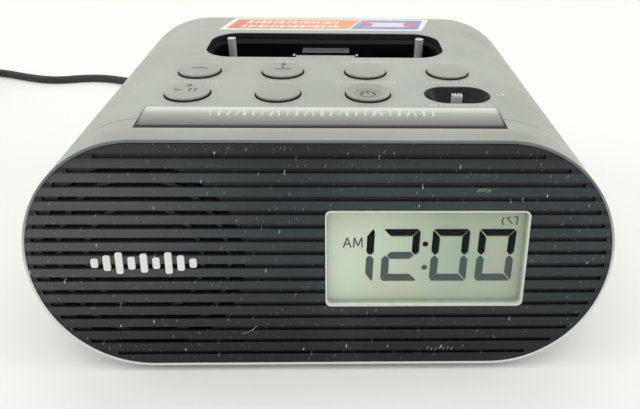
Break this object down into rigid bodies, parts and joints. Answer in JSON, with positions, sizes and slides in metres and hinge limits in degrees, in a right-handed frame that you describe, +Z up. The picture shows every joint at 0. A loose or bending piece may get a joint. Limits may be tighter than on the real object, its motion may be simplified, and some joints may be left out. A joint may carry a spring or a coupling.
{
  "type": "dock clock radio",
  "caption": "Oval clock radio with a leaning louvred front, display window, key row, slide switch, dock well and a mains adaptor on a lead.",
  "frame": {"origin": "on the table, under the middle of the cabinet's bounding box (the lead, its coil and the adaptor not counted)", "axes": "+X to the right seen from the front, along the cabinet's width; +Y from the front face to the rear; +Z up"},
  "size_m": [0.3775, 0.2466, 0.0678],
  "materials": {
    "cabinet": "fine satin texture",
    "lower_shell": "fine satin texture",
    "panel_black": "satin black mouldings",
    "key": "satin",
    "gloss_black": "polished",
    "soft_black": "matt",
    "cloth": "open weave",
    "badge": "painted off-white",
    "window": "clear moulding",
    "lcd": "grey-green reflective display",
    "diffuser": "white translucent",
    "dark_plastic": "moulded",
    "board": "green solder mask",
    "steel": "plated",
    "dark_steel": "black oxide",
    "brass": "nickel over brass",
    "lever": "light grey",
    "copper": "enamelled copper wire",
    "ferrite": "sintered",
    "capsleeve": "sleeve",
    "white_plastic": "moulded",
    "guide_grey": "moulded",
    "label": "printed film",
    "cone": "pulp"
  },
  "bodies": {
    "cabinet": {"front_bezel": "cabinet", "front_grille": "panel_black", "grille_cloth": "cloth", "badge_bars": "badge", "lcd_lens": "window", "lcd_glass": "lcd", "lcd_backlight": "diffuser", "lcd_holder": "dark_plastic", "display_board": "board", "cabinet_top": "cabinet", "cabinet_bottom": "lower_shell", "rubber_feet": "soft_black", "case_screws": "dark_steel", "coin_cell": "steel", "cell_contacts": "brass", "alarm_dish": "gloss_black", "alarm_switch": "steel", "tact_switches": "dark_plastic", "key_board": "board", "main_board": "board", "board_screws": "steel", "tuner_can": "steel", "processor": "dark_plastic", "amplifier": "dark_plastic", "capacitors": "capsleeve", "ferrite_rod": "ferrite", "ferrite_winding": "copper", "ferrite_clips": "white_plastic", "dock_well": "gloss_black", "dock_connector": "steel", "dock_latches": "steel", "dock_pad": "gloss_black", "dock_guides": "guide_grey", "dock_board": "board", "dock_label": "label", "speaker_basket": "dark_steel", "speaker_surround": "soft_black", "speaker_cone": "cone", "speaker_cap": "cone", "speaker_magnet": "steel", "dc_jack": "dark_plastic", "dc_plug": "soft_black", "plug_relief": "soft_black", "cord": "soft_black", "cord_coil": "soft_black", "cord_tie": "dark_plastic", "cord_tail": "soft_black", "adaptor_relief": "soft_black", "power_adaptor": "dark_plastic", "adaptor_blades": "brass"},
    "snooze": {"snooze_bar": "key"},
    "slider": {"alarm_slider": "lever"},
    "door": {"battery_door": "lower_shell"},
    "play": {"play_key": "key"},
    "source": {"source_key": "key"},
    "off": {"off_key": "key"},
    "minus": {"minus_key": "key"},
    "plus": {"plus_key": "key"},
    "sleep": {"sleep_key": "key"},
    "clock": {"clock_key": "key"}
  },
  "joints": [
    {"name": "snooze_press", "type": "slide", "parent": "cabinet", "child": "snooze", "axis": [0, 0, -1], "range_m": [0, 0.0009], "stiffness_N_per_m": 2400, "springref_m": -0.0002},
    {"name": "play_press", "type": "slide", "parent": "cabinet", "child": "play", "axis": [0, 0, -1], "range_m": [0, 0.0009], "stiffness_N_per_m": 1800, "springref_m": -0.0002},
    {"name": "source_press", "type": "slide", "parent": "cabinet", "child": "source", "axis": [0, 0, -1], "range_m": [0, 0.0009], "stiffness_N_per_m": 1800, "springref_m": -0.0002},
    {"name": "off_press", "type": "slide", "parent": "cabinet", "child": "off", "axis": [0, 0, -1], "range_m": [0, 0.0009], "stiffness_N_per_m": 1800, "springref_m": -0.0002},
    {"name": "minus_press", "type": "slide", "parent": "cabinet", "child": "minus", "axis": [0, 0, -1], "range_m": [0, 0.0009], "stiffness_N_per_m": 1800, "springref_m": -0.0002},
    {"name": "plus_press", "type": "slide", "parent": "cabinet", "child": "plus", "axis": [0, 0, -1], "range_m": [0, 0.0009], "stiffness_N_per_m": 1800, "springref_m": -0.0002},
    {"name": "sleep_press", "type": "slide", "parent": "cabinet", "child": "sleep", "axis": [0, 0, -1], "range_m": [0, 0.0009], "stiffness_N_per_m": 1800, "springref_m": -0.0002},
    {"name": "clock_press", "type": "slide", "parent": "cabinet", "child": "clock", "axis": [0, 0, -1], "range_m": [0, 0.0009], "stiffness_N_per_m": 1800, "springref_m": -0.0002},
    {"name": "alarm_slide", "type": "slide", "parent": "cabinet", "child": "slider", "axis": [1, 0, 0], "range_m": [-0.0035, 0.0035]},
    {"name": "battery_door_pull", "type": "slide", "parent": "cabinet", "child": "door", "axis": [0, 0, -1], "range_m": [0, 0.02]}
  ]
}
